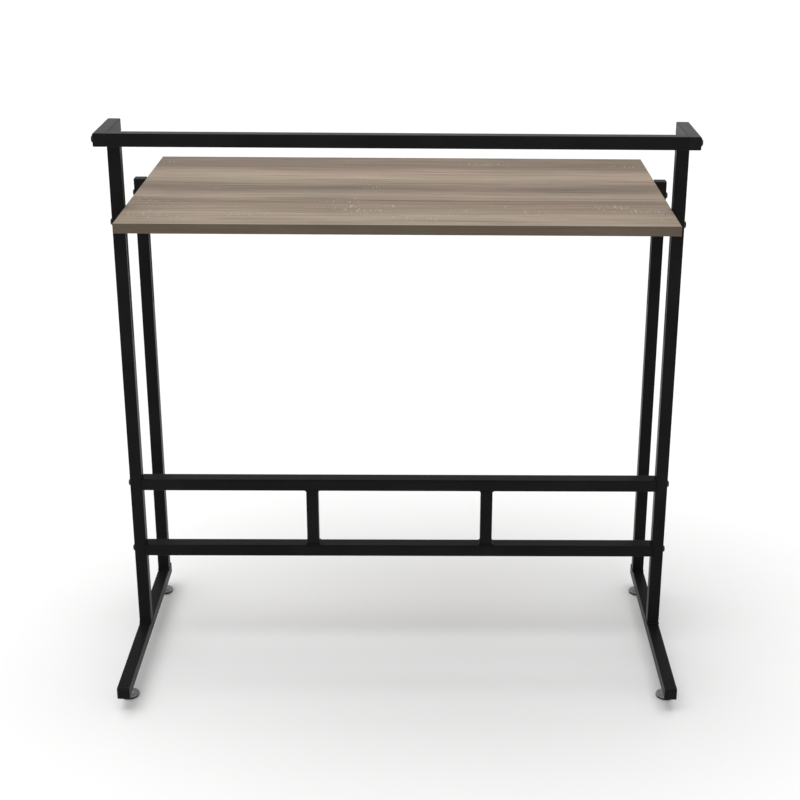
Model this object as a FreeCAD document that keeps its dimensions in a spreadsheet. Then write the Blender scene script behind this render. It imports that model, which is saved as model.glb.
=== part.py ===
import FreeCAD, Part
import math
import os
import Sketcher

# A standing desk: a wood board between two welded steel side frames, in millimetres.
# X runs along the board, Y from the front posts to the rear posts, Z up from the floor.
# The origin is on the floor, under the middle of the whole desk.
# The front is the side with the top crossbar and the foot rails.

DIMENSIONS = {
    # The whole desk, with the board at its highest setting
    "overall_width": 1130,
    "overall_depth": 750,
    "overall_height": 1145,
    # Square tube of everything but the foot rails
    "tube_size": 25,
    "tube_wall": 1.5,
    "tube_corner": 2,
    # Side frames
    "foot_height": 28,
    "toe_reach": 269.5,
    "post_spacing": 251.5,
    "floor_tube_run": 559,
    "arm_reach": 125,
    "rear_post_top": 975,
    # Foot rails and the struts between them
    "upper_rail_top": 394,
    "lower_rail_top": 242,
    "strut_offset": 184,
    "foot_rail_depth": 36,
    "foot_rail_corner": 4.5,
    # Board
    "board_top": 975,
    "board_depth": 608,
    "board_thickness": 19,
    "board_gap": 1.5,
    "edge_band": 1,
    "band_edge_radius": 0.4,
    "height_travel": 240,
    "sliding_gap": 0.1,
    # Bolts through the posts and arms, and the threaded plugs that they run into
    "bolt_dia": 8,
    "bolt_hole": 8.4,
    "bolt_run": 45,
    "bolt_head_dia": 14,
    "bolt_head_rise": 4.4,
    "bolt_head_round": 3.2,
    "socket_flats": 5,
    "socket_depth": 2.4,
    "plug_run": 20,
    "plug_play": 0.1,
    # Screws from the board rails up into the board
    "screw_dia": 5,
    "screw_head_dia": 10,
    "screw_head_rise": 3,
    "screw_head_round": 1.5,
    "recess_span": 5,
    "recess_width": 1.2,
    "recess_depth": 1.6,
    "screw_bite": 13,
    "screw_spacing": 430,
    # Plastic caps in the open tube ends
    "cap_flange": 3,
    "post_cap_flange": 5,
    "cap_spigot": 5,
    "cap_spigot_wall": 2,
    "cap_round": 1,
    # Levelling feet
    "front_foot_inset": 62,
    "rear_foot_inset": 42,
    "stud_dia": 8,
    "stud_top": 50,
    "stud_bottom": 6,
    "thread_play": 0.05,
    "hex_flats": 13,
    "lock_nut_rise": 5,
    "rivet_flange_dia": 13,
    "rivet_flange_rise": 1,
    "rivet_dia": 10.8,
    "rivet_run": 15,
    "pad_dia": 40,
    "pad_rise": 13,
    "pad_rim": 5.5,
    "pad_hub_dia": 20,
    "pad_edge_round": 1.5,
    "sole_dia": 38,
    "sole_rise": 4,
    "sole_proud": 2.5,
}

SIDES = (("left", -1), ("right", 1))

# Positions in the desk's frame, as expressions on the sheet
SIDE_X = "(dims.overall_width - dims.tube_size) / 2"
OUTER_FACE_X = "dims.overall_width / 2"
INNER_FACE_X = "(dims.overall_width / 2 - dims.tube_size)"
FLOOR_TUBE_TOP = "(dims.foot_height + dims.tube_size)"
NEAR_END_Y = "(-dims.overall_depth / 2)"
FAR_END_Y = f"({NEAR_END_Y} + dims.floor_tube_run)"
FRONT_POST_Y = f"({NEAR_END_Y} + dims.toe_reach + dims.tube_size / 2)"
REAR_POST_Y = f"({FRONT_POST_Y} + dims.post_spacing)"
ARM_NEAR_Y = f"({FRONT_POST_Y} - dims.tube_size / 2 - dims.arm_reach)"
ARM_FAR_Y = f"({FRONT_POST_Y} + dims.tube_size / 2 + dims.cap_flange)"
ARM_Z = "(dims.overall_height - dims.tube_size / 2)"
CROSSBAR_Y = f"({ARM_NEAR_Y} + dims.tube_size / 2)"
BOARD_BOTTOM = "(dims.board_top - dims.board_thickness)"
BOARD_RAIL_Z = f"({BOARD_BOTTOM} - dims.tube_size / 2)"
BOARD_Y = "(dims.overall_depth / 2 - dims.board_depth / 2)"
BOARD_WIDTH = "(dims.overall_width - 2 * dims.tube_size - 2 * dims.board_gap)"
UPPER_RAIL_Z = "(dims.upper_rail_top - dims.tube_size / 2)"
LOWER_RAIL_Z = "(dims.lower_rail_top - dims.tube_size / 2)"

# Orientations of pieces that are built along their own Z axis
UPRIGHT = FreeCAD.Rotation()
ALONG_X = FreeCAD.Rotation(FreeCAD.Vector(0, 1, 0), 90)
AGAINST_X = FreeCAD.Rotation(FreeCAD.Vector(0, 1, 0), -90)
ALONG_Y = FreeCAD.Rotation(FreeCAD.Vector(1, 0, 0), -90)
AGAINST_Y = FreeCAD.Rotation(FreeCAD.Vector(1, 0, 0), 90)
# Along Y, with the piece's own X axis pointing down
ALONG_Y_X_DOWN = FreeCAD.Rotation(
    FreeCAD.Vector(0, 0, -1), FreeCAD.Vector(-1, 0, 0), FreeCAD.Vector(0, 1, 0), "ZXY"
)

# Outward directions of the board's edges
TO_FRONT, TO_REAR = FreeCAD.Vector(0, -1, 0), FreeCAD.Vector(0, 1, 0)
TO_LEFT, TO_RIGHT = FreeCAD.Vector(-1, 0, 0), FreeCAD.Vector(1, 0, 0)

# The three screws along a board rail, in steps of the screw spacing
SCREW_STEPS = (-1, 0, 1)

SAME_PLACE = 1e-6  # mm, below which two positions are the same
LEAST_CUT = 1  # mm3, below which a cut has missed its body

SKETCH_ORIGIN = (-1, 1)
VERTICAL_AXIS = -2
START, END, CENTRE = 1, 2, 3
NORMAL = FreeCAD.Vector(0, 0, 1)

doc = FreeCAD.newDocument("standing_desk")
nodes = []


# Sheet

def make_sheet():
    """Puts every driving dimension in the sheet under its own alias."""
    sheet = doc.addObject("Spreadsheet::Sheet", "dims")
    for row, (alias, value) in enumerate(DIMENSIONS.items(), start=1):
        sheet.set(f"A{row}", alias)
        sheet.set(f"B{row}", str(value))
        sheet.setAlias(f"B{row}", alias)
    doc.recompute()


def value(expression):
    """Works out an expression on the sheet, as a starting size for a sketch."""
    return float(doc.getObject("dims").evalExpression(expression))


# Placement and bookkeeping

def place(piece, x="0", y="0", z="0", rotation=UPRIGHT):
    """Turns a piece, then binds its position to expressions on the sheet."""
    piece.Placement = FreeCAD.Placement(FreeCAD.Vector(), rotation)
    for axis, expression in zip("xyz", (x, y, z)):
        piece.setExpression(f"Placement.Base.{axis}", expression)
    return piece


def keep(piece, label):
    """Names a finished sub-part, so that it is checked and written out."""
    piece.Label = label
    nodes.append(piece)
    return piece


def signed(sign, expression):
    return f"{sign} * ({expression})"


# Sketches

def new_sketch(body, plane="XY_Plane", offset=None):
    """Starts a sketch on one of the body's own origin planes, or parallel to it."""
    sketch = body.newObject("Sketcher::SketchObject", body.Name + "_sketch")
    support = next(f for f in body.Origin.OriginFeatures if f.Role == plane)
    sketch.AttachmentSupport = [(support, "")]
    sketch.MapMode = "FlatFace"
    if offset:
        sketch.setExpression("AttachmentOffset.Base.z", offset)
    return sketch


def bind(sketch, kind, references, expression):
    """Adds a dimension to a sketch and binds it to an expression."""
    constraint = Sketcher.Constraint(kind, *references, value(expression))
    index = sketch.addConstraint(constraint)
    sketch.setExpression(f"Constraints[{index}]", expression)


def rectangle(sketch, width, depth):
    """Draws a rectangle centred on the sketch's origin."""
    first = len(sketch.Geometry)
    half_x, half_y = value(width) / 2, value(depth) / 2
    signs = ((-1, -1), (1, -1), (1, 1), (-1, 1))
    corners = [FreeCAD.Vector(x * half_x, y * half_y) for x, y in signs]
    for start, end in zip(corners, corners[1:] + corners[:1]):
        sketch.addGeometry(Part.LineSegment(start, end), False)
    for side in range(4):
        following = first + (side + 1) % 4
        sketch.addConstraint(
            Sketcher.Constraint("Coincident", first + side, END, following, START)
        )
        direction = "Horizontal" if side % 2 == 0 else "Vertical"
        sketch.addConstraint(Sketcher.Constraint(direction, first + side))
    sketch.addConstraint(
        Sketcher.Constraint("Symmetric", first, START, first + 1, END, *SKETCH_ORIGIN)
    )
    bind(sketch, "DistanceX", (first, START, first, END), width)
    bind(sketch, "DistanceY", (first + 1, START, first + 1, END), depth)


def circle(sketch, diameter, height=None):
    """Draws a circle on the sketch's origin, or at a height on its vertical axis."""
    index = len(sketch.Geometry)
    middle = FreeCAD.Vector(0, value(height) if height else 0)
    sketch.addGeometry(Part.Circle(middle, NORMAL, value(diameter) / 2), False)
    if height:
        sketch.addConstraint(
            Sketcher.Constraint("PointOnObject", index, CENTRE, VERTICAL_AXIS)
        )
        bind(sketch, "DistanceY", (*SKETCH_ORIGIN, index, CENTRE), height)
    else:
        sketch.addConstraint(Sketcher.Constraint("Coincident", index, CENTRE, *SKETCH_ORIGIN))
    bind(sketch, "Diameter", (index,), diameter)


def slot(sketch, width, low, high):
    """Draws an upright slot on the vertical axis, between two end centres."""
    first = len(sketch.Geometry)
    radius = value(width) / 2
    upper, lower = FreeCAD.Vector(0, value(high)), FreeCAD.Vector(0, value(low))
    side = FreeCAD.Vector(radius, 0)
    upper_circle = Part.Circle(upper, NORMAL, radius)
    lower_circle = Part.Circle(lower, NORMAL, radius)
    sketch.addGeometry(Part.ArcOfCircle(upper_circle, 0, math.pi), False)
    sketch.addGeometry(Part.LineSegment(upper - side, lower - side), False)
    sketch.addGeometry(Part.ArcOfCircle(lower_circle, math.pi, 2 * math.pi), False)
    sketch.addGeometry(Part.LineSegment(lower + side, upper + side), False)
    for edge in range(4):
        following = first + (edge + 1) % 4
        sketch.addConstraint(
            Sketcher.Constraint("Tangent", first + edge, END, following, START)
        )
    for arc, height in ((first, high), (first + 2, low)):
        sketch.addConstraint(Sketcher.Constraint("PointOnObject", arc, CENTRE, VERTICAL_AXIS))
        bind(sketch, "DistanceY", (*SKETCH_ORIGIN, arc, CENTRE), height)
    bind(sketch, "Radius", (first,), f"({width}) / 2")


# Features

def new_body(name):
    return doc.addObject("PartDesign::Body", name)


def pad(body, sketch, length, downward=False):
    feature = body.newObject("PartDesign::Pad", body.Name + "_pad")
    feature.Profile = sketch
    feature.Reversed = downward
    feature.setExpression("Length", length)
    doc.recompute()
    return feature


def cut(body, sketch, depth=None, forward=False):
    """Cuts a sketch out of a body: right through both ways, through one way, or to a depth."""
    before = body.Shape.Volume
    feature = body.newObject("PartDesign::Pocket", body.Name + "_cut")
    feature.Profile = sketch
    if depth:
        feature.Reversed = forward
        feature.setExpression("Length", depth)
    elif forward:
        feature.Type = "ThroughAll"
        feature.Reversed = True
    else:
        feature.Type = "ThroughAll"
        feature.SideType = "Symmetric"
    doc.recompute()
    if body.Shape.Volume > before - LEAST_CUT:
        raise RuntimeError(f"{feature.Name} cuts nothing")
    return feature


def round_edges(body, radius, chosen):
    """Rounds the edges of a body that a test picks out."""
    base = body.Tip
    names = [f"Edge{i}" for i, edge in enumerate(base.Shape.Edges, start=1) if chosen(edge)]
    if not names:
        raise RuntimeError(f"{body.Name} has no such edge to round")
    feature = body.newObject("PartDesign::Fillet", body.Name + "_round")
    feature.Base = (base, names)
    feature.setExpression("Radius", radius)
    doc.recompute()
    return feature


def runs_up(edge):
    box = edge.BoundBox
    return box.ZLength > SAME_PLACE and max(box.XLength, box.YLength) < SAME_PLACE


def upright_corners(shape, inset=0.0):
    """Returns a test for upright edges on a shape's outer corners, or inset from them."""
    reach = shape.BoundBox.XMax - inset
    return lambda edge: runs_up(edge) and abs(abs(edge.BoundBox.XMin) - reach) < SAME_PLACE


def at_height(level):
    """Returns a test for edges that lie flat at one height."""
    return lambda edge: (
        abs(edge.BoundBox.ZMin - level) < SAME_PLACE
        and abs(edge.BoundBox.ZMax - level) < SAME_PLACE
    )


def level_on_face(shape, outward):
    """Returns a test for the level edges of the face that looks outward."""
    reach = max(face.CenterOfMass.dot(outward) for face in shape.Faces)
    return lambda edge: (
        abs(edge.CenterOfMass.dot(outward) - reach) < SAME_PLACE and not runs_up(edge)
    )


# Simple solids for the small turned and hexagonal pieces

def cylinder(name, diameter, height, z="0"):
    piece = doc.addObject("Part::Cylinder", name)
    piece.setExpression("Radius", f"({diameter}) / 2")
    piece.setExpression("Height", height)
    piece.setExpression("Placement.Base.z", z)
    return piece


def hexagon(name, flats, height, z="0"):
    piece = doc.addObject("Part::Prism", name)
    piece.Polygon = 6
    piece.setExpression("Circumradius", f"{flats} / sqrt(3)")
    piece.setExpression("Height", height)
    piece.setExpression("Placement.Base.z", z)
    return piece


def fuse(name, *pieces):
    whole = doc.addObject("Part::MultiFuse", name)
    whole.Shapes = list(pieces)
    return whole


def bore(name, base, tool):
    whole = doc.addObject("Part::Cut", name)
    whole.Base = base
    whole.Tool = tool
    return whole


def copies(label, source, positions):
    """Gathers linked copies of one fastener into one node."""
    links = []
    for x, y, z, rotation in positions:
        link = doc.addObject("App::Link", source.Name + "_copy")
        link.LinkedObject = source
        links.append(place(link, x, y, z, rotation))
    group = doc.addObject("Part::Compound", label)
    group.Links = links
    return keep(group, label)


# Tubes

def tube(name, depth, length, corner="dims.tube_corner"):
    """Straight hollow tube with rounded corners, built along its own Z axis."""
    body = new_body(name)
    section = new_sketch(body)
    rectangle(section, "dims.tube_size", depth)
    inside = "2 * dims.tube_wall"
    rectangle(section, f"dims.tube_size - {inside}", f"{depth} - {inside}")
    pad(body, section, length)
    round_edges(body, corner, upright_corners(body.Shape))
    return body


def cross_holes(body, diameter, heights):
    """Drills both walls of a tube along its own X axis."""
    drilling = new_sketch(body, "YZ_Plane")
    for height in heights:
        circle(drilling, diameter, height)
    cut(body, drilling)


def height_slot(body):
    """Cuts the slot that a board bolt slides in, through both walls of a post."""
    top = f"{BOARD_RAIL_Z} - {FLOOR_TUBE_TOP}"
    milling = new_sketch(body, "YZ_Plane")
    slot(milling, "dims.bolt_hole", f"{top} - dims.height_travel", top)
    cut(body, milling)


def floor_tube(side, sign):
    length = "dims.floor_tube_run - 2 * dims.cap_flange"
    body = tube(f"{side}_floor_tube", "dims.tube_size", length)
    underside = new_sketch(body, "YZ_Plane")
    circle(underside, "dims.rivet_dia", "dims.front_foot_inset - dims.cap_flange")
    circle(underside, "dims.rivet_dia", f"{length} + dims.cap_flange - dims.rear_foot_inset")
    cut(body, underside, forward=True)
    middle = "dims.foot_height + dims.tube_size / 2"
    start = f"{NEAR_END_Y} + dims.cap_flange"
    place(body, signed(sign, SIDE_X), start, middle, ALONG_Y_X_DOWN)
    keep(body, f"{side}_floor_tube")


def front_post(side, sign):
    length = f"dims.overall_height - dims.tube_size - {FLOOR_TUBE_TOP}"
    body = tube(f"{side}_front_post", "dims.tube_size", length)
    rails = [f"{z} - {FLOOR_TUBE_TOP}" for z in (LOWER_RAIL_Z, UPPER_RAIL_Z)]
    cross_holes(body, "dims.bolt_hole", rails)
    height_slot(body)
    place(body, signed(sign, SIDE_X), FRONT_POST_Y, FLOOR_TUBE_TOP)
    keep(body, f"{side}_front_post")


def rear_post(side, sign):
    length = f"dims.rear_post_top - dims.post_cap_flange - {FLOOR_TUBE_TOP}"
    body = tube(f"{side}_rear_post", "dims.tube_size", length)
    height_slot(body)
    place(body, signed(sign, SIDE_X), REAR_POST_Y, FLOOR_TUBE_TOP)
    keep(body, f"{side}_rear_post")


def arm(side, sign):
    length = "dims.arm_reach + dims.tube_size - dims.cap_flange"
    body = tube(f"{side}_arm", "dims.tube_size", length)
    cross_holes(body, "dims.bolt_hole", ["dims.tube_size / 2 - dims.cap_flange"])
    start = f"{ARM_NEAR_Y} + dims.cap_flange"
    place(body, signed(sign, SIDE_X), start, ARM_Z, ALONG_Y)
    keep(body, f"{side}_arm")


def cross_rail(name, y, z, gap="0"):
    """Rail that runs along X between the two side frames."""
    length = f"dims.overall_width - 2 * dims.tube_size - 2 * {gap}"
    body = tube(name, "dims.tube_size", length)
    place(body, f"-({length}) / 2", y, z, ALONG_X)
    return keep(body, name)


def foot_rail(name, z):
    """Deeper and rounder rail, which people rest their feet on."""
    length = "dims.overall_width - 2 * dims.tube_size"
    body = tube(name, "dims.foot_rail_depth", length, "dims.foot_rail_corner")
    wall = value("dims.tube_wall")
    inside = upright_corners(body.Shape, wall)
    round_edges(body, "dims.foot_rail_corner - dims.tube_wall", inside)
    place(body, f"-({length}) / 2", FRONT_POST_Y, z, ALONG_X)
    keep(body, name)


def board_rail(name, y):
    """Rail under the board, drilled for the screws that hold the board down."""
    body = cross_rail(name, y, BOARD_RAIL_Z, "dims.sliding_gap")
    middle = f"({INNER_FACE_X} - dims.sliding_gap)"
    holes = [f"{middle} + {step} * dims.screw_spacing" for step in SCREW_STEPS]
    cross_holes(body, "dims.screw_dia", holes)


def strut(side, sign):
    length = "dims.upper_rail_top - dims.tube_size - dims.lower_rail_top"
    name = f"{side}_foot_rail_strut"
    body = tube(name, "dims.tube_size", length)
    place(body, signed(sign, "dims.strut_offset"), FRONT_POST_Y, "dims.lower_rail_top")
    keep(body, name)


def end_cap(name, flange, x, y, z, rotation):
    """Plastic cap: a flange over the tube's end and a hollow spigot inside it."""
    body = new_body(name)
    cover = new_sketch(body)
    rectangle(cover, "dims.tube_size", "dims.tube_size")
    pad(body, cover, flange)
    round_edges(body, "dims.tube_corner", upright_corners(body.Shape))
    round_edges(body, "dims.cap_round", at_height(body.Shape.BoundBox.ZMax))
    spigot = new_sketch(body)
    outside = "dims.tube_wall + dims.plug_play"
    inside = f"{outside} + dims.cap_spigot_wall"
    for margin in (outside, inside):
        width = f"dims.tube_size - 2 * ({margin})"
        rectangle(spigot, width, width)
    pad(body, spigot, "dims.cap_spigot", downward=True)
    place(body, x, y, z, rotation)
    keep(body, name)


def end_caps(side, sign):
    """All the caps of one side frame."""
    x = signed(sign, SIDE_X)
    floor_z = "dims.foot_height + dims.tube_size / 2"
    ends = (
        ("front_floor_tube_cap", f"{NEAR_END_Y} + dims.cap_flange", floor_z, AGAINST_Y),
        ("rear_floor_tube_cap", f"{FAR_END_Y} - dims.cap_flange", floor_z, ALONG_Y),
        ("front_arm_cap", f"{ARM_NEAR_Y} + dims.cap_flange", ARM_Z, AGAINST_Y),
        ("rear_arm_cap", f"{ARM_FAR_Y} - dims.cap_flange", ARM_Z, ALONG_Y),
    )
    for name, y, z, rotation in ends:
        end_cap(f"{side}_{name}", "dims.cap_flange", x, y, z, rotation)
    top = "dims.rear_post_top - dims.post_cap_flange"
    end_cap(f"{side}_rear_post_cap", "dims.post_cap_flange", x, REAR_POST_Y, top, UPRIGHT)


# Fasteners

def button_bolt():
    """Bolt with a rounded head and a hexagonal socket; the head sits on Z = 0."""
    body = new_body("button_bolt")
    head = new_sketch(body)
    circle(head, "dims.bolt_head_dia")
    pad(body, head, "dims.bolt_head_rise")
    round_edges(body, "dims.bolt_head_round", at_height(body.Shape.BoundBox.ZMax))
    shank = new_sketch(body)
    circle(shank, "dims.bolt_dia")
    pad(body, shank, "dims.bolt_run", downward=True)
    socket = hexagon(
        "bolt_socket", "dims.socket_flats", "dims.socket_depth",
        "dims.bolt_head_rise - dims.socket_depth",
    )
    return bore("frame_bolt", body, socket)


def threaded_plug(name, depth):
    """Steel plug that fills the end of a cross rail and takes a bolt."""
    body = new_body(name)
    section = new_sketch(body)
    inset = "2 * (dims.tube_wall + dims.plug_play)"
    rectangle(section, f"dims.tube_size - {inset}", f"{depth} - {inset}")
    circle(section, "dims.bolt_dia")
    pad(body, section, "dims.plug_run", downward=True)
    return body


def board_screw():
    """Screw with a cross recess in a rounded head below Z = 0, and a shank that points up."""
    body = new_body("board_screw")
    head = new_sketch(body)
    circle(head, "dims.screw_head_dia")
    pad(body, head, "dims.screw_head_rise", downward=True)
    round_edges(body, "dims.screw_head_round", at_height(body.Shape.BoundBox.ZMin))
    lengthwise = ("dims.recess_span", "dims.recess_width")
    for width, depth in (lengthwise, lengthwise[::-1]):
        recess = new_sketch(body, offset="-dims.screw_head_rise")
        rectangle(recess, width, depth)
        cut(body, recess, "dims.recess_depth", forward=True)
    shank = new_sketch(body)
    circle(shank, "dims.screw_dia")
    pad(body, shank, "dims.tube_size + dims.screw_bite")
    return body


def both_ends(x, rows):
    """Places for a fastener at the right and left ends of each row, facing outward."""
    places = []
    for y, z in rows:
        places.append((x, y, z, ALONG_X))
        places.append((f"-({x})", y, z, AGAINST_X))
    return places


def frame_fasteners():
    """Bolts and threaded plugs of the crossbar, the foot rails and the board rails."""
    bolt = button_bolt()
    square = threaded_plug("square_plug", "dims.tube_size")
    deep = threaded_plug("deep_plug", "dims.foot_rail_depth")
    round_edges(
        deep, "dims.foot_rail_corner - dims.tube_wall", upright_corners(deep.Shape)
    )
    crossbar = [(CROSSBAR_Y, ARM_Z)]
    foot_rails = [(FRONT_POST_Y, UPPER_RAIL_Z), (FRONT_POST_Y, LOWER_RAIL_Z)]
    board_rails = [(FRONT_POST_Y, BOARD_RAIL_Z), (REAR_POST_Y, BOARD_RAIL_Z)]
    for name, plug, rows, gap in (
        ("crossbar", square, crossbar, "0"),
        ("foot_rail", deep, foot_rails, "0"),
        ("board_rail", square, board_rails, "dims.sliding_gap"),
    ):
        copies(f"{name}_bolts", bolt, both_ends(f"{OUTER_FACE_X} + {gap}", rows))
        copies(f"{name}_threaded_plugs", plug, both_ends(f"{INNER_FACE_X} - {gap}", rows))
    screw = board_screw()
    under_rail = f"{BOARD_BOTTOM} - dims.tube_size"
    copies("board_screws", screw, [
        (f"{step} * dims.screw_spacing", y, under_rail, UPRIGHT)
        for y in (FRONT_POST_Y, REAR_POST_Y)
        for step in SCREW_STEPS
    ])


# Board

def board_core():
    """Wood board with blind pilot holes in its underside."""
    body = new_body("board_core")
    outline = new_sketch(body)
    inset = "2 * dims.edge_band"
    rectangle(outline, f"{BOARD_WIDTH} - {inset}", f"dims.board_depth - {inset}")
    pad(body, outline, "dims.board_thickness")
    for y in (FRONT_POST_Y, REAR_POST_Y):
        for step in SCREW_STEPS:
            pilot = pilot_hole(body, f"{step} * dims.screw_spacing", f"{y} - {BOARD_Y}")
            cut(body, pilot, "dims.screw_bite", forward=True)
    place(body, "0", BOARD_Y, BOARD_BOTTOM)
    keep(body, "board_core")


def pilot_hole(body, x, y):
    """Sketches one pilot hole, offset from the middle of the board."""
    sketch = new_sketch(body)
    sketch.setExpression("AttachmentOffset.Base.x", x)
    sketch.setExpression("AttachmentOffset.Base.y", y)
    circle(sketch, "dims.screw_dia")
    return sketch


def edge_band(name, width, depth, x, y, outward):
    """Thin strip glued to one edge of the board, with its outer long edges rounded."""
    body = new_body(name)
    outline = new_sketch(body)
    rectangle(outline, width, depth)
    pad(body, outline, "dims.board_thickness")
    round_edges(body, "dims.band_edge_radius", level_on_face(body.Shape, outward))
    place(body, x, y, BOARD_BOTTOM)
    keep(body, name)


def edge_bands():
    """Bands on the four edges; the long ones cover the ends of the short ones."""
    thickness = "dims.edge_band"
    long_side = (BOARD_WIDTH, thickness, "0")
    y = f"(dims.board_depth - {thickness}) / 2"
    edge_band("front_edge_band", *long_side, f"{BOARD_Y} - {y}", TO_FRONT)
    edge_band("rear_edge_band", *long_side, f"{BOARD_Y} + {y}", TO_REAR)
    short_side = (thickness, f"dims.board_depth - 2 * {thickness}")
    x = f"({BOARD_WIDTH} - {thickness}) / 2"
    edge_band("left_edge_band", *short_side, f"-{x}", BOARD_Y, TO_LEFT)
    edge_band("right_edge_band", *short_side, x, BOARD_Y, TO_RIGHT)


# Levelling feet

def foot_places():
    """Name and position of each levelling foot."""
    rows = (
        ("front", f"{NEAR_END_Y} + dims.front_foot_inset"),
        ("rear", f"{FAR_END_Y} - dims.rear_foot_inset"),
    )
    for side, sign in SIDES:
        for end, y in rows:
            yield f"{side}_{end}", signed(sign, SIDE_X), y


def lock_nut():
    seat = "dims.foot_height - dims.rivet_flange_rise - dims.lock_nut_rise"
    block = hexagon("lock_nut_block", "dims.hex_flats", "dims.lock_nut_rise", seat)
    thread = cylinder(
        "lock_nut_thread", "dims.stud_dia + 2 * dims.thread_play", "dims.lock_nut_rise", seat
    )
    return bore("lock_nut", block, thread)


def rivet_nut():
    """Threaded insert riveted into the underside of a floor tube."""
    seat = "dims.foot_height - dims.rivet_flange_rise"
    flange = cylinder("rivet_flange", "dims.rivet_flange_dia", "dims.rivet_flange_rise", seat)
    barrel = cylinder("rivet_barrel", "dims.rivet_dia", "dims.rivet_run", "dims.foot_height")
    thread = cylinder(
        "rivet_thread", "dims.stud_dia + 2 * dims.thread_play",
        "dims.rivet_run + dims.rivet_flange_rise", seat,
    )
    return bore("rivet_nut", fuse("rivet_body", flange, barrel), thread)


def foot_stud(name, x, y):
    """Threaded stud with a hexagonal collar; its lower end turns in the pad."""
    shank = cylinder(
        f"{name}_shank", "dims.stud_dia", "dims.stud_top - dims.stud_bottom", "dims.stud_bottom"
    )
    collar_start = "(dims.pad_rise + dims.sliding_gap)"
    nut_start = "(dims.foot_height - dims.rivet_flange_rise - dims.lock_nut_rise)"
    collar = hexagon(
        f"{name}_collar", "dims.hex_flats",
        f"{nut_start} - dims.sliding_gap - {collar_start}", collar_start,
    )
    keep(place(fuse(name, shank, collar), x, y), name)


def foot_pad(name, x, y):
    """Round pad with a raised hub on a flat rim, a bore for the stud and a recess below."""
    body = new_body(name)
    rim = new_sketch(body, offset="dims.sole_proud")
    circle(rim, "dims.pad_dia")
    pad(body, rim, "dims.pad_rim - dims.sole_proud")
    round_edges(body, "dims.pad_edge_round", at_height(body.Shape.BoundBox.ZMax))
    hub = new_sketch(body, offset="dims.pad_rim")
    circle(hub, "dims.pad_hub_dia")
    pad(body, hub, "dims.pad_rise - dims.pad_rim")
    round_edges(body, "dims.pad_edge_round", at_height(body.Shape.BoundBox.ZMax))
    seat = new_sketch(body, offset="dims.pad_rise")
    circle(seat, "dims.stud_dia + 2 * dims.thread_play")
    cut(body, seat, "dims.pad_rise - dims.stud_bottom + dims.sliding_gap")
    recess = new_sketch(body, offset="dims.sole_proud")
    circle(recess, "dims.sole_dia")
    cut(body, recess, "dims.sole_rise - dims.sole_proud", forward=True)
    keep(place(body, x, y), name)


def foot_sole(name, x, y):
    sole = cylinder(name, "dims.sole_dia", "dims.sole_rise")
    keep(place(sole, x, y), name)


def feet():
    spots = list(foot_places())
    for name, x, y in spots:
        foot_stud(f"{name}_foot_stud", x, y)
        foot_pad(f"{name}_foot_pad", x, y)
        foot_sole(f"{name}_foot_sole", x, y)
    places = [(x, y, "0", UPRIGHT) for _, x, y in spots]
    copies("foot_lock_nuts", lock_nut(), places)
    copies("foot_rivet_nuts", rivet_nut(), places)


# Whole desk

def build():
    make_sheet()
    for side, sign in SIDES:
        floor_tube(side, sign)
        front_post(side, sign)
        rear_post(side, sign)
        arm(side, sign)
        strut(side, sign)
        end_caps(side, sign)
    cross_rail("top_crossbar", CROSSBAR_Y, ARM_Z)
    foot_rail("upper_foot_rail", UPPER_RAIL_Z)
    foot_rail("lower_foot_rail", LOWER_RAIL_Z)
    board_core()
    edge_bands()
    board_rail("front_board_rail", FRONT_POST_Y)
    board_rail("rear_board_rail", REAR_POST_Y)
    frame_fasteners()
    feet()
    doc.recompute()


def check():
    """Stops if any object failed or any sub-part has no sound solid."""
    for item in doc.Objects:
        if {"Invalid", "Error"} & set(item.State):
            raise RuntimeError(f"{item.Name} failed: {item.State}")
    for node in nodes:
        shape = node.Shape
        if shape.isNull() or not shape.isValid() or not shape.Solids:
            raise RuntimeError(f"{node.Label} has no valid solid")
    labels = [node.Label for node in nodes]
    if len(set(labels)) != len(labels):
        raise RuntimeError("two sub-parts share a name")


def export():
    os.makedirs("parts", exist_ok=True)
    for node in nodes:
        node.Shape.exportStep(os.path.join("parts", node.Label + ".step"))


build()
check()
export()
whole = Part.makeCompound([node.Shape for node in nodes])
box = whole.optimalBoundingBox(True, True)
print(f"{len(nodes)} sub-parts, {box.XLength:.1f} x {box.YLength:.1f} x {box.ZLength:.1f} mm")
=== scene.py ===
import math

import bmesh
import bpy
from mathutils import Euler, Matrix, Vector


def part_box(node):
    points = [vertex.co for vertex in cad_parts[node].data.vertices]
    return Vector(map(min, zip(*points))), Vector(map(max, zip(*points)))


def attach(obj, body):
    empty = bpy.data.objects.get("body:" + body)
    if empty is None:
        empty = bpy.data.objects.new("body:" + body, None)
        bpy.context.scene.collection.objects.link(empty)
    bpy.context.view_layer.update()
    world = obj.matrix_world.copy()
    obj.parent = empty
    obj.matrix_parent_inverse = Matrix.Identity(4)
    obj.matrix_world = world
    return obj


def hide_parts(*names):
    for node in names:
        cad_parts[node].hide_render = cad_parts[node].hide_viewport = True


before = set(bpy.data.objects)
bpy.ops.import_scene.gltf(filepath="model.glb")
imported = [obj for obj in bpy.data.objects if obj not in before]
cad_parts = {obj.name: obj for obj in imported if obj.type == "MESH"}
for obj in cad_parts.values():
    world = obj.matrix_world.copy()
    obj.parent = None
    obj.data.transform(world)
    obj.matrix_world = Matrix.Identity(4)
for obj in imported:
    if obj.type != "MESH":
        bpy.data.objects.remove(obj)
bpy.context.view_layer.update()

# The looks of a standing desk, in metres: a wood decor board between black tubular side
# frames. X runs along the board, Y from the front posts to the rear posts, Z up.
MM = 0.001
SIDES = ("left", "right")
ENDS = ("front", "rear")

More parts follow.
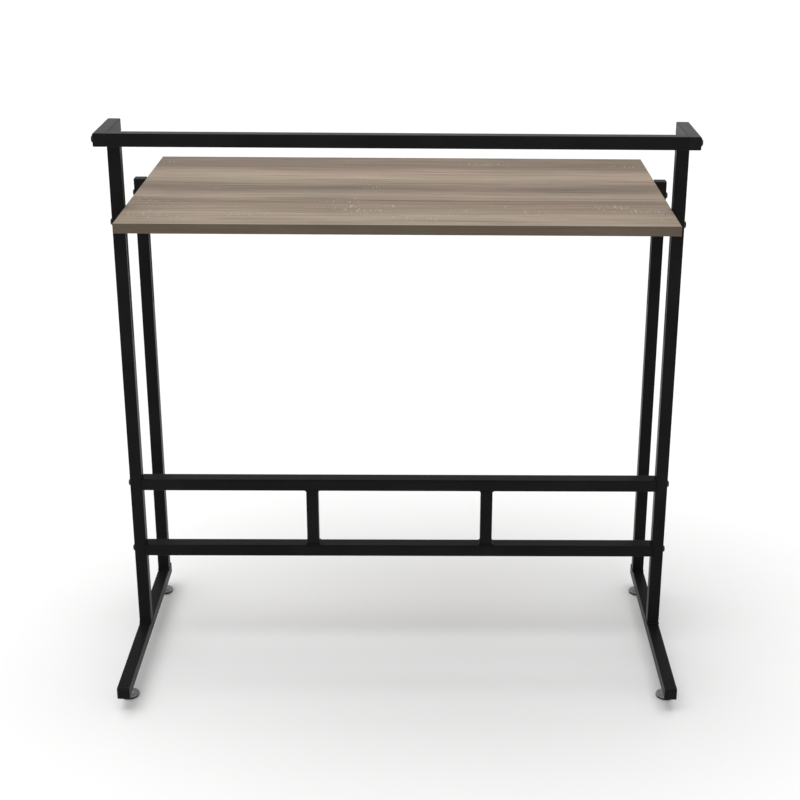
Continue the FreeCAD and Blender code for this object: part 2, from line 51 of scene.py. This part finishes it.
# Camera
CAMERA_PLACE = Vector((0.0474, -3.0840, 1.7068))
CAMERA_PITCH_DOWN = 0.3649  # radians below level
CAMERA_YAW = 0.0144  # radians towards +X
CAMERA_ROLL = 0.0091  # radians, clockwise seen from behind the camera
CAMERA_LENS = 69.64  # mm
CAMERA_SENSOR = 36  # mm
CAMERA_SHIFT = (-0.0539, 0.0027)

# Light
SKY_LEVEL = 0.45
HORIZON_LEVEL = 1.18
HORIZON_FADE = (0.22, 0.52)  # sines of the elevation between which the horizon fades
SUN_STRENGTH = 2.0  # W per square metre
SUN_ANGLE = math.radians(70)  # wide, for soft shadows
SUN_TILT = (math.radians(-8), math.radians(-10))  # about X and Y, from overhead
FLOOR_RADIUS = 60.0
FLOOR_SEGMENTS = 96

# Broad bands of the wood decor, from the front edge to the rear: share of the board's
# depth, and how light the band is between the dark and the light tone
WOOD_BANDS = (
    (0.00, 1.00),
    (0.12, 1.00),
    (0.18, 0.50),
    (0.25, 0.44),
    (0.315, 0.14),
    (0.39, 0.72),
    (0.50, 0.00),
    (0.60, 0.50),
    (0.68, 1.00),
    (0.76, 0.72),
    (0.86, 0.00),
    (1.00, 0.10),
)
# How much likelier the pale ticks are along the same depth
WOOD_TICK_ROWS = (
    (0.03, 0.02),
    (0.12, 0.16),
    (0.22, 0.18),
    (0.36, 0.02),
    (0.80, 0.00),
    (0.92, 0.08),
)
WOOD_DARK = (0.180, 0.133, 0.094)
WOOD_LIGHT = (0.358, 0.281, 0.214)
WOOD_FLECK = (0.56, 0.50, 0.42)

# Welds
BEAD_LEG = 3.4 * MM
BEAD_BULGE = 0.9 * MM
BEAD_PITCH = 2.4 * MM
BEAD_STEP = 0.6 * MM
BEAD_RIPPLE = 0.13  # of the bulge
BEAD_LEAN = 0.45  # of the pitch, by which the crown runs ahead of the toes
BEAD_TAPER_STEPS = 4  # rings over which a bead's end grows to its full size
BEAD_END_SIZE = 0.25  # of the full size
BEAD_SECTION_POINTS = 7
TUBE_CORNER = 2 * MM
CORNER_STEPS = 5
STRAIGHT = 0.999  # of a unit direction, from where it counts as straight along an axis

# Levelling feet
# Painted shade on the pads: below these heights the side is painted near black, and above them
# the top shows light grey, partly painted sheen
PAD_SHADE_RIM = (4.6 * MM, 5.3 * MM)  # heights between which a pad turns from dark to grey
STUD_RADIUS = 4 * MM
THREAD_PITCH = 1.25 * MM
THREAD_DEPTH = 0.61 * MM
THREAD_FLANK = 2.6  # slope of a flank, in thread depths per pitch
THREAD_CREST = 0.15  # of the depth, by which the crest falls short of a sharp edge
THREAD_RINGS_PER_TURN = 8
THREAD_SEGMENTS = 24
NUT_SEGMENTS = 48
NUT_CHAMFER_RINGS = 5
NUT_GAP = 0.1 * MM
NUT_FLATS = 13 * MM
NUT_FACE_SHARE = 0.95  # of the flats, across the flat face inside the chamfer
CHAMFER_SLOPE = math.tan(math.radians(30))


# Shader nodes

class Shader:
    """A material with short calls for the nodes that the finishes use."""

    def __init__(self, name, **constants):
        self.material = bpy.data.materials.new(name)
        self.material.use_nodes = True
        self.tree = self.material.node_tree
        self.surface = self.tree.nodes["Principled BSDF"]
        for label, value in constants.items():
            self.surface.inputs[label.replace("_", " ")].default_value = value
        self.place = self.add("ShaderNodeTexCoord").outputs["Object"]

    def add(self, kind, **settings):
        node = self.tree.nodes.new(kind)
        for key, value in settings.items():
            setattr(node, key, value)
        return node

    def feed(self, socket, value):
        """Links an output to a socket, or sets the socket to a value."""
        if isinstance(value, bpy.types.NodeSocket):
            self.tree.links.new(value, socket)
        else:
            socket.default_value = value

    def stretched(self, scale, offset=(0, 0, 0)):
        """The object's coordinates in metres, scaled along each axis and then moved."""
        node = self.add("ShaderNodeMapping")
        self.feed(node.inputs["Vector"], self.place)
        node.inputs["Scale"].default_value = scale
        node.inputs["Location"].default_value = offset
        return node.outputs["Vector"]

    def noise(self, vector, scale=1.0, detail=2.0, roughness=0.5, distortion=0.0):
        node = self.add("ShaderNodeTexNoise")
        self.feed(node.inputs["Vector"], vector)
        node.inputs["Scale"].default_value = scale
        node.inputs["Detail"].default_value = detail
        node.inputs["Roughness"].default_value = roughness
        node.inputs["Distortion"].default_value = distortion
        return node.outputs["Fac"]

    def math(self, operation, first, second=0.0, clamp=False):
        node = self.add("ShaderNodeMath", operation=operation, use_clamp=clamp)
        self.feed(node.inputs[0], first)
        self.feed(node.inputs[1], second)
        return node.outputs[0]

    def spread(self, factor, low, high, to_low=0.0, to_high=1.0):
        """Maps a range of a factor to another range, and clamps it."""
        node = self.add("ShaderNodeMapRange", clamp=True)
        self.feed(node.inputs["Value"], factor)
        for label, value in (
            ("From Min", low), ("From Max", high), ("To Min", to_low), ("To Max", to_high),
        ):
            node.inputs[label].default_value = value
        return node.outputs["Result"]

    def mix(self, factor, first, second, blend="MIX"):
        node = self.add("ShaderNodeMix", data_type="RGBA", blend_type=blend)
        self.feed(node.inputs["Factor"], factor)
        for socket, value in ((node.inputs[6], first), (node.inputs[7], second)):
            self.feed(socket, (*value, 1.0) if isinstance(value, tuple) else value)
        return node.outputs[2]

    def ramp(self, factor, stops):
        """A curve through (position, level) stops, as a grey level."""
        node = self.add("ShaderNodeValToRGB")
        self.feed(node.inputs["Fac"], factor)
        node.color_ramp.interpolation = "EASE"
        elements = node.color_ramp.elements
        while len(elements) < len(stops):
            elements.new(0.5)
        for element, (position, level) in zip(elements, stops):
            element.position = position
            element.color = (level, level, level, 1.0)
        return node.outputs["Color"]

    def bump(self, height, strength, depth, below=None):
        node = self.add("ShaderNodeBump")
        node.inputs["Strength"].default_value = strength
        node.inputs["Distance"].default_value = depth
        self.feed(node.inputs["Height"], height)
        if below is not None:
            self.feed(node.inputs["Normal"], below)
        return node.outputs["Normal"]

    def finish(self, colour=None, roughness=None, normal=None):
        for label, value in (
            ("Base Color", colour), ("Roughness", roughness), ("Normal", normal),
        ):
            if value is not None:
                self.feed(self.surface.inputs[label], value)
        return self.material


# Finishes

def powder_coat():
    """Satin black powder coat, with its fine orange peel."""
    look = Shader("powder_coat", Specular_IOR_Level=0.035)
    cloud = look.noise(look.place, scale=9, detail=3)
    grain = look.noise(look.place, scale=700, detail=2)
    peel = look.noise(look.place, scale=520, detail=1.5)
    waves = look.noise(look.place, scale=120, detail=1)
    dark, light = (0.0072, 0.0069, 0.0071), (0.0110, 0.0105, 0.0108)
    tone = look.mix(look.spread(cloud, 0.3, 0.7), dark, light)
    tone = look.mix(look.spread(grain, 0.62, 0.8, 0, 0.35), tone, (0.016, 0.0155, 0.016))
    blend = look.math("ADD", look.math("MULTIPLY", cloud, 0.6), look.math("MULTIPLY", grain, 0.4))
    rough = look.spread(blend, 0.3, 0.7, 0.30, 0.40)
    normal = look.bump(waves, 0.05, 0.4 * MM)
    normal = look.bump(peel, 0.16, 0.12 * MM, normal)
    return look.finish(tone, rough, normal)


def moulded_plastic():
    """Black moulded plastic with a fine spark-eroded grain."""
    look = Shader("moulded_plastic", Specular_IOR_Level=0.08)
    grain = look.noise(look.place, scale=1500, detail=2)
    cloud = look.noise(look.place, scale=40, detail=2)
    dark, light = (0.0052, 0.0050, 0.0052), (0.0085, 0.0082, 0.0084)
    tone = look.mix(look.spread(cloud, 0.3, 0.7), dark, light)
    rough = look.spread(grain, 0.3, 0.7, 0.42, 0.56)
    return look.finish(tone, rough, look.bump(grain, 0.35, 0.06 * MM))


def share_of_depth(look):
    """Place on the board from its front edge to its rear, with wavy lines of equal share."""
    low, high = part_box("board_core")
    split = look.add("ShaderNodeSeparateXYZ")
    look.feed(split.inputs[0], look.place)
    drift = look.noise(look.stretched((1.1, 5.0, 1.0)), detail=3, roughness=0.55)
    wave = look.noise(look.stretched((2.6, 16.0, 1.0), offset=(3, 1, 0)), detail=2)
    across = look.spread(split.outputs["Y"], low.y, high.y)
    across = look.math("ADD", across, look.spread(drift, 0.2, 0.8, -0.045, 0.045))
    return look.math("ADD", across, look.spread(wave, 0.2, 0.8, -0.016, 0.016))


def saw_marks(look, across):
    """Ticks across the grain and flecks, gathered in patches, most of them near the front."""
    patch = look.noise(look.stretched((6.5, 15, 1), offset=(2, 9, 0)), detail=2)
    patch = look.math("ADD", patch, look.ramp(across, WOOD_TICK_ROWS))
    tick = look.noise(look.stretched((330, 30, 1), offset=(4, 4, 0)), detail=1)
    ticks = look.math("MULTIPLY", look.spread(patch, 0.66, 0.74), look.spread(tick, 0.64, 0.72))
    fleck = look.noise(look.stretched((170, 190, 1), offset=(8, 3, 0)), detail=1)
    flecks = look.math("MULTIPLY", look.spread(patch, 0.63, 0.71), look.spread(fleck, 0.66, 0.74))
    return look.math("MULTIPLY", look.math("MAXIMUM", ticks, flecks), 0.8, clamp=True)


def wood_decor():
    """Matt weathered wood decor: broad bands, fine grain along X and pale saw marks."""
    look = Shader("wood_decor", Specular_IOR_Level=0.28)
    across = share_of_depth(look)
    bands = look.ramp(across, WOOD_BANDS)
    along = look.noise(look.stretched((1.4, 2.0, 1.0), offset=(7, 2, 0)), detail=2)
    bands = look.math("ADD", bands, look.spread(along, 0.25, 0.75, -0.16, 0.16), clamp=True)
    streak = look.noise(look.stretched((3.6, 95, 40)), detail=4, roughness=0.6, distortion=0.4)
    line = look.noise(look.stretched((2.4, 210, 60), offset=(5, 8, 0)), detail=3, distortion=0.3)
    fine = look.noise(look.stretched((9, 620, 200)), detail=3, roughness=0.6)
    pores = look.noise(look.stretched((34, 900, 300), offset=(1, 5, 2)), detail=2)
    tone = look.mix(bands, WOOD_DARK, WOOD_LIGHT)
    for factor, strength, gain in (
        (look.spread(streak, 0.46, 0.66), 0.95, (0.78, 0.765, 0.74)),
        (look.spread(streak, 0.50, 0.34), 0.55, (1.13, 1.13, 1.14)),
        (look.spread(line, 0.54, 0.66), 0.85, (0.76, 0.74, 0.72)),
        (look.spread(fine, 0.46, 0.66), 0.55, (1.20, 1.20, 1.20)),
        (look.spread(fine, 0.54, 0.34), 0.55, (0.84, 0.83, 0.82)),
        (look.spread(pores, 0.60, 0.70), 0.55, (0.62, 0.60, 0.58)),
    ):
        shaded = look.mix(1.0, tone, gain, "MULTIPLY")
        tone = look.mix(look.math("MULTIPLY", factor, strength), tone, shaded)
    # Broad patches lean towards pink or towards olive
    hue = look.noise(look.stretched((2.0, 11.0, 1.0), offset=(6, 6, 0)), detail=2)
    tint = look.mix(look.spread(hue, 0.35, 0.65), (1.035, 0.985, 0.985), (0.970, 1.010, 0.985))
    tone = look.mix(1.0, tone, tint, "MULTIPLY")
    tone = look.mix(saw_marks(look, across), tone, WOOD_FLECK)
    rough = look.spread(streak, 0.3, 0.7, 0.56, 0.70)
    normal = look.bump(fine, 0.16, 0.10 * MM)
    normal = look.bump(streak, 0.12, 0.25 * MM, normal)
    return look.finish(tone, rough, normal)


def edge_decor():
    """Darker olive-brown decor strip, with grain along the strip."""
    look = Shader("edge_decor", Specular_IOR_Level=0.28)
    grain = look.noise(look.stretched((4, 4, 700)), detail=3, roughness=0.6)
    fine = look.noise(look.stretched((26, 26, 2400)), detail=2)
    cloud = look.noise(look.stretched((3.0, 3.0, 8.0)), detail=3)
    tone = look.mix(look.spread(cloud, 0.32, 0.68), (0.095, 0.069, 0.047), (0.120, 0.094, 0.063))
    worn = look.mix(1.0, tone, (0.70, 0.68, 0.66), "MULTIPLY")
    tone = look.mix(look.spread(grain, 0.4, 0.66, 0.0, 0.7), tone, worn)
    tone = look.mix(look.spread(fine, 0.55, 0.75, 0.0, 0.3), tone, (0.21, 0.175, 0.135))
    rough = look.spread(grain, 0.3, 0.7, 0.5, 0.66)
    return look.finish(tone, rough, look.bump(grain, 0.2, 0.08 * MM))


def black_oxide():
    """Black oxide on steel, slightly uneven, with a dull shine."""
    look = Shader("black_oxide", Metallic=0.55, Specular_IOR_Level=0.5)
    cloud = look.noise(look.place, scale=260, detail=3)
    tone = look.mix(look.spread(cloud, 0.3, 0.7), (0.010, 0.010, 0.011), (0.022, 0.021, 0.021))
    rough = look.spread(cloud, 0.3, 0.7, 0.30, 0.44)
    return look.finish(tone, rough, look.bump(cloud, 0.12, 0.05 * MM))


def zinc_plate():
    """Bright zinc plating with faint bluish and yellowish clouds."""
    look = Shader("zinc_plate", Metallic=1.0)
    cloud = look.noise(look.place, scale=220, detail=3)
    scratch = look.noise(look.stretched((900, 900, 240)), detail=2)
    tone = look.mix(look.spread(cloud, 0.3, 0.7), (0.50, 0.52, 0.56), (0.62, 0.60, 0.54))
    rough = look.spread(scratch, 0.3, 0.7, 0.24, 0.40)
    return look.finish(tone, rough, look.bump(scratch, 0.10, 0.04 * MM))


def plain_steel():
    """Turned steel with faint tool marks."""
    look = Shader("plain_steel", Metallic=1.0)
    marks = look.noise(look.stretched((1600, 60, 60)), detail=2)
    tone = look.mix(look.spread(marks, 0.3, 0.7), (0.36, 0.35, 0.34), (0.50, 0.49, 0.48))
    rough = look.spread(marks, 0.3, 0.7, 0.32, 0.5)
    return look.finish(tone, rough, look.bump(marks, 0.15, 0.05 * MM))


def nylon():
    """Grey nylon, mottled on top, with painted shade: the side below the rim height is painted
    near black, and the top's light grey is partly painted sheen.
    """
    look = Shader("nylon", Specular_IOR_Level=0.6)
    split = look.add("ShaderNodeSeparateXYZ")
    look.feed(split.inputs[0], look.place)
    dimple = look.noise(look.place, scale=230, detail=2)
    cloud = look.noise(look.place, scale=420, detail=3)
    tone = look.mix(look.spread(cloud, 0.32, 0.70), (0.165, 0.161, 0.162), (0.460, 0.450, 0.452))
    # Painted shade and sheen: near black on the side below the rim height, mottled light grey on
    # top
    above_painted_shade = look.spread(split.outputs["Z"], *PAD_SHADE_RIM)
    tone = look.mix(above_painted_shade, (0.016, 0.016, 0.016), tone)
    rough = look.spread(cloud, 0.35, 0.65, 0.16, 0.40)
    return look.finish(tone, rough, look.bump(dimple, 0.45, 0.5 * MM))


def rubber():
    """Matt black rubber."""
    look = Shader("rubber", Specular_IOR_Level=0.3)
    grain = look.noise(look.place, scale=900, detail=2)
    tone = look.mix(look.spread(grain, 0.3, 0.7), (0.020, 0.020, 0.020), (0.032, 0.031, 0.031))
    rough = look.spread(grain, 0.3, 0.7, 0.72, 0.88)
    return look.finish(tone, rough, look.bump(grain, 0.3, 0.1 * MM))


def floor_paint():
    """Plain pale studio floor."""
    look = Shader("studio_floor", Specular_IOR_Level=0.1)
    cloud = look.noise(look.place, scale=0.8, detail=2)
    tone = look.mix(look.spread(cloud, 0.3, 0.7), (0.90, 0.90, 0.90), (0.93, 0.93, 0.93))
    return look.finish(tone, look.spread(cloud, 0.3, 0.7, 0.8, 0.9))


FINISHES = {
    "frame_paint": powder_coat(),
    "board_wood": wood_decor(),
    "edge_wood": edge_decor(),
    "cap_plastic": moulded_plastic(),
    "bolt_black": black_oxide(),
    "plain_steel": plain_steel(),
    "zinc_steel": zinc_plate(),
    "pad_plastic": nylon(),
    "sole_rubber": rubber(),
}


def paint_frame():
    """Gives every CAD node the finish of its own slot."""
    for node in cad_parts.values():
        for holder in node.material_slots:
            holder.material = FINISHES[holder.material.name.split(".")[0]]


# Meshes

def new_piece(name, mesh, slot, body):
    """Makes an object of a bmesh, with a finish, riding on a CAD body."""
    bmesh.ops.recalc_face_normals(mesh, faces=mesh.faces)
    data = bpy.data.meshes.new(name)
    mesh.to_mesh(data)
    mesh.free()
    data.shade_smooth()
    data.materials.append(FINISHES[slot])
    piece = bpy.data.objects.new(name, data)
    bpy.context.scene.collection.objects.link(piece)
    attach(piece, body)
    return piece


def skin(mesh, rings, closed_loop, capped):
    """Joins rings of points into a skin; a ring always closes on itself."""
    made = [[mesh.verts.new(point) for point in ring] for ring in rings]
    pairs = list(zip(made, made[1:]))
    if closed_loop:
        pairs.append((made[-1], made[0]))
    for one, two in pairs:
        for i in range(len(one)):
            j = (i + 1) % len(one)
            mesh.faces.new((one[i], one[j], two[j], two[i]))
    if capped:
        mesh.faces.new(made[0])
        mesh.faces.new(list(reversed(made[-1])))


# Welds

def tube_outline(half_x, half_y):
    """Points round a tube's section, each with its outward direction."""
    spots = []
    corners = ((1, 1), (-1, 1), (-1, -1), (1, -1))
    for quarter, (sign_x, sign_y) in enumerate(corners):
        centre = Vector((sign_x * (half_x - TUBE_CORNER), sign_y * (half_y - TUBE_CORNER), 0))
        for step in range(CORNER_STEPS + 1):
            angle = (quarter + step / CORNER_STEPS) * math.pi / 2
            outward = Vector((math.cos(angle), math.sin(angle), 0))
            spots.append((centre + outward * TUBE_CORNER, outward))
        next_x, next_y = corners[(quarter + 1) % 4]
        start, outward = spots[-1]
        end = Vector((next_x * (half_x - TUBE_CORNER), next_y * (half_y - TUBE_CORNER), 0))
        end += outward * TUBE_CORNER
        count = max(1, round((end - start).length / BEAD_STEP))
        spots += [(start.lerp(end, i / count), outward) for i in range(1, count)]
    return spots


def bead_ring(spot, along, outward, up, flush, size, run):
    """Section of a weld bead at one spot: two toes on the metal and a rounded crown."""
    down = -up * flush + outward * (1 - flush)
    crown = (up + down + outward * flush).normalized()
    ripple = 1 + BEAD_RIPPLE * math.sin(2 * math.pi * run / BEAD_PITCH)
    ring = [spot - crown * BEAD_BULGE]
    for i in range(BEAD_SECTION_POINTS):
        share = i / (BEAD_SECTION_POINTS - 1)
        arch = math.sin(math.pi * share)
        point = spot + (up * (1 - share) + down * share) * BEAD_LEG * size
        point += crown * BEAD_BULGE * arch * size * ripple
        ring.append(point + along * (BEAD_PITCH * BEAD_LEAN * arch))
    return ring


def weld(name, centre, half_x, half_y, up, flush_sides, open_rear=False):
    """Weld bead round the end of a tube that stands on another one."""
    outline = tube_outline(half_x, half_y)
    if open_rear:
        first = next(i for i, (_, out) in enumerate(outline) if out.x < -STRAIGHT)
        outline = outline[first:] + outline[:first]
        outline = [spot for spot in outline if spot[0].y < half_y - 2 * TUBE_CORNER]
    rings = []
    run = 0.0
    count = len(outline)
    for i, (spot, outward) in enumerate(outline):
        ahead = outline[(i + 1) % count][0]
        along = (ahead - spot).normalized() if i + 1 < count or not open_rear else Vector()
        flush = abs(outward.x) ** 2 if flush_sides else 0.0
        taper = min(i, count - 1 - i) / BEAD_TAPER_STEPS if open_rear else 1.0
        size = BEAD_END_SIZE + (1 - BEAD_END_SIZE) * min(1.0, taper)
        rings.append(bead_ring(centre + spot, along, outward, up, flush, size, run))
        run += (ahead - spot).length
    mesh = bmesh.new()
    skin(mesh, rings, closed_loop=not open_rear, capped=open_rear)
    return new_piece(name, mesh, "frame_paint", "frame")


def welds():
    """Beads where the posts, arms and struts are welded to the tubes they meet."""
    above, below = Vector((0, 0, 1)), Vector((0, 0, -1))
    for side in SIDES:
        for end in ENDS:
            low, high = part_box(f"{side}_{end}_post")
            middle, half = (low + high) / 2, (high - low) / 2
            foot = Vector((middle.x, middle.y, low.z))
            weld(f"{side}_{end}_post_weld", foot, half.x, half.y, above, flush_sides=True)
        low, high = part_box(f"{side}_front_post")
        middle, half = (low + high) / 2, (high - low) / 2
        top = Vector((middle.x, middle.y, high.z))
        name = f"{side}_arm_weld"
        weld(name, top, half.x, half.y, below, flush_sides=True, open_rear=True)
        low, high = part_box(f"{side}_foot_rail_strut")
        middle, half = (low + high) / 2, (high - low) / 2
        for end, z, up in (("lower", low.z, above), ("upper", high.z, below)):
            spot = Vector((middle.x, middle.y, z))
            weld(f"{side}_strut_{end}_weld", spot, half.x, half.y, up, flush_sides=False)


# Threads and nuts

def thread_rings(centre, radius, low, high):
    """Rings of a threaded rod, with both ends turned down to the root of the thread."""
    count = round((high - low) / THREAD_PITCH * THREAD_RINGS_PER_TURN)
    rings = []
    for i in range(count + 1):
        z = low + (high - low) * i / count
        to_end = min(z - low, high - z) / THREAD_PITCH
        ring = []
        for k in range(THREAD_SEGMENTS):
            turn = k / THREAD_SEGMENTS
            phase = (z / THREAD_PITCH - turn) % 1.0
            cut = THREAD_FLANK * abs(phase - 0.5) - THREAD_CREST
            depth = THREAD_DEPTH * min(1.0, max(0.0, cut))
            depth = max(depth, THREAD_DEPTH * (1 - to_end))
            angle = 2 * math.pi * turn
            reach = radius - depth
            ring.append(Vector((
                centre.x + reach * math.cos(angle), centre.y + reach * math.sin(angle), z
            )))
        rings.append(ring)
    return rings


def nut_rings(centre, low, high):
    """Rings of a hexagon with its corners chamfered at both ends."""
    apothem = NUT_FLATS / 2
    face = apothem * NUT_FACE_SHARE
    chamfer = (apothem / math.cos(math.pi / 6) - face) * CHAMFER_SLOPE
    steps = [chamfer * i / NUT_CHAMFER_RINGS for i in range(NUT_CHAMFER_RINGS + 1)]
    heights = [low + d for d in steps] + [high - d for d in reversed(steps)]
    rings = []
    for z in heights:
        limit = face + min(z - low, high - z) / CHAMFER_SLOPE
        ring = []
        for k in range(NUT_SEGMENTS):
            angle = 2 * math.pi * k / NUT_SEGMENTS
            off_flat = (angle + math.pi / 6) % (math.pi / 3) - math.pi / 6
            reach = min(apothem / math.cos(off_flat), limit)
            ring.append(Vector((
                centre.x + reach * math.sin(angle), centre.y + reach * math.cos(angle), z
            )))
        rings.append(ring)
    return rings


def studs():
    """Threaded studs with a chamfered collar, in place of the plain ones."""
    nut_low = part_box("foot_lock_nuts")[0].z
    for side in SIDES:
        for end in ENDS:
            name = f"{side}_{end}"
            low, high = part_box(f"{name}_foot_stud")
            middle = (low + high) / 2
            pad_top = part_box(f"{name}_foot_pad")[1].z
            mesh = bmesh.new()
            thread = thread_rings(middle, STUD_RADIUS, low.z, high.z)
            collar = nut_rings(middle, pad_top + NUT_GAP, nut_low - NUT_GAP)
            skin(mesh, thread, closed_loop=False, capped=True)
            skin(mesh, collar, closed_loop=False, capped=True)
            piece = new_piece(f"{name}_threaded_stud", mesh, "zinc_steel", f"{name}_stud")
            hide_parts(f"{name}_foot_stud")


# Studio

def floor():
    """Wide pale disc that the desk stands on."""
    mesh = bmesh.new()
    bmesh.ops.create_circle(mesh, cap_ends=True, segments=FLOOR_SEGMENTS, radius=FLOOR_RADIUS)
    data = bpy.data.meshes.new("studio_floor")
    mesh.to_mesh(data)
    mesh.free()
    data.materials.append(floor_paint())
    ground = bpy.data.objects.new("studio_floor", data)
    bpy.context.scene.collection.objects.link(ground)


def studio():
    """Pale sky, brighter towards the horizon, with one soft sun overhead."""
    world = bpy.data.worlds.new("studio")
    world.use_nodes = True
    nodes, links = world.node_tree.nodes, world.node_tree.links
    direction = nodes.new("ShaderNodeTexCoord").outputs["Generated"]
    height = nodes.new("ShaderNodeSeparateXYZ")
    fade = nodes.new("ShaderNodeMapRange")
    fade.inputs["From Min"].default_value = HORIZON_FADE[0]
    fade.inputs["From Max"].default_value = HORIZON_FADE[1]
    fade.inputs["To Min"].default_value = HORIZON_LEVEL
    fade.inputs["To Max"].default_value = SKY_LEVEL
    links.new(direction, height.inputs[0])
    links.new(height.outputs["Z"], fade.inputs["Value"])
    links.new(fade.outputs["Result"], nodes["Background"].inputs["Strength"])
    nodes["Background"].inputs["Color"].default_value = (1.0, 1.0, 1.0, 1.0)
    bpy.context.scene.world = world
    bpy.context.scene.view_settings.view_transform = "Standard"
    sun = bpy.data.lights.new("overhead", "SUN")
    sun.energy = SUN_STRENGTH
    sun.angle = SUN_ANGLE
    lamp = bpy.data.objects.new("overhead", sun)
    lamp.rotation_euler = (*SUN_TILT, 0)
    bpy.context.scene.collection.objects.link(lamp)
    floor()


def camera():
    """Long lens above the board, nearly square on to the front."""
    lens = bpy.data.cameras.new("camera")
    lens.sensor_width = CAMERA_SENSOR
    lens.lens = CAMERA_LENS
    lens.shift_x, lens.shift_y = CAMERA_SHIFT
    eye = bpy.data.objects.new("camera", lens)
    level = math.pi / 2 - CAMERA_PITCH_DOWN
    aim = Euler((level, 0, -CAMERA_YAW)).to_matrix()
    roll = Euler((0, 0, CAMERA_ROLL)).to_matrix()
    eye.rotation_euler = (aim @ roll).to_euler()
    eye.location = CAMERA_PLACE
    bpy.context.scene.collection.objects.link(eye)
    bpy.context.scene.camera = eye


paint_frame()
welds()
studs()
studio()
camera()
